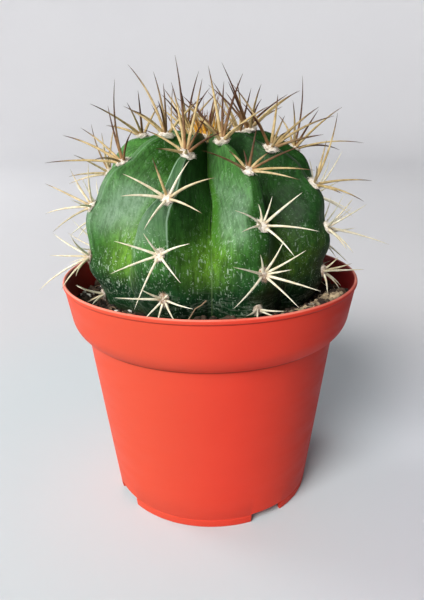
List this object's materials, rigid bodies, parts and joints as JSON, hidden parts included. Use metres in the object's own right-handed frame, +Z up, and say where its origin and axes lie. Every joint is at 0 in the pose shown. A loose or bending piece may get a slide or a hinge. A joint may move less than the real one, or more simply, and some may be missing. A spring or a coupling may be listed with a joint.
{
  "type": "potted round cactus",
  "caption": "Round ribbed cactus with starry spine clusters, standing in soil in a tapered plastic nursery pot with a deep collar.",
  "frame": {"origin": "on the floor at the middle of the pot's foot, which is the middle of the whole object's box", "axes": "+Z up along the pot, -Y out of the front of the plant, +X to the right seen from the front"},
  "size_m": [0.12, 0.1093, 0.1539],
  "materials": {
    "pot_plastic": "satin moulded",
    "potting_soil": "loose peat and grit",
    "cactus_skin": "waxy skin over flesh",
    "spines_and_felt": "dry horn-like spines on felt",
    "crown_wool": "short young wool"
  },
  "bodies": {
    "root": {"pot": "pot_plastic", "soil": "potting_soil", "cactus_body": "cactus_skin", "crown_wool": "crown_wool", "areole_a1": "spines_and_felt", "areole_a2": "spines_and_felt", "areole_a3": "spines_and_felt", "areole_a4": "spines_and_felt", "areole_a5": "spines_and_felt", "areole_b1": "spines_and_felt", "areole_b2": "spines_and_felt", "areole_b3": "spines_and_felt", "areole_b4": "spines_and_felt", "areole_c1": "spines_and_felt", "areole_c2": "spines_and_felt", "areole_c3": "spines_and_felt", "areole_c4": "spines_and_felt", "areole_c5": "spines_and_felt", "areole_d1": "spines_and_felt", "areole_d2": "spines_and_felt", "areole_d3": "spines_and_felt", "areole_d4": "spines_and_felt", "areole_e1": "spines_and_felt", "areole_e2": "spines_and_felt", "areole_e3": "spines_and_felt", "areole_e4": "spines_and_felt", "areole_e5": "spines_and_felt", "areole_f1": "spines_and_felt", "areole_f2": "spines_and_felt", "areole_f3": "spines_and_felt", "areole_f4": "spines_and_felt", "areole_g1": "spines_and_felt", "areole_g2": "spines_and_felt", "areole_g3": "spines_and_felt", "areole_g4": "spines_and_felt", "areole_g5": "spines_and_felt", "areole_h1": "spines_and_felt", "areole_h2": "spines_and_felt", "areole_h3": "spines_and_felt", "areole_h4": "spines_and_felt"}
  },
  "joints": []
}
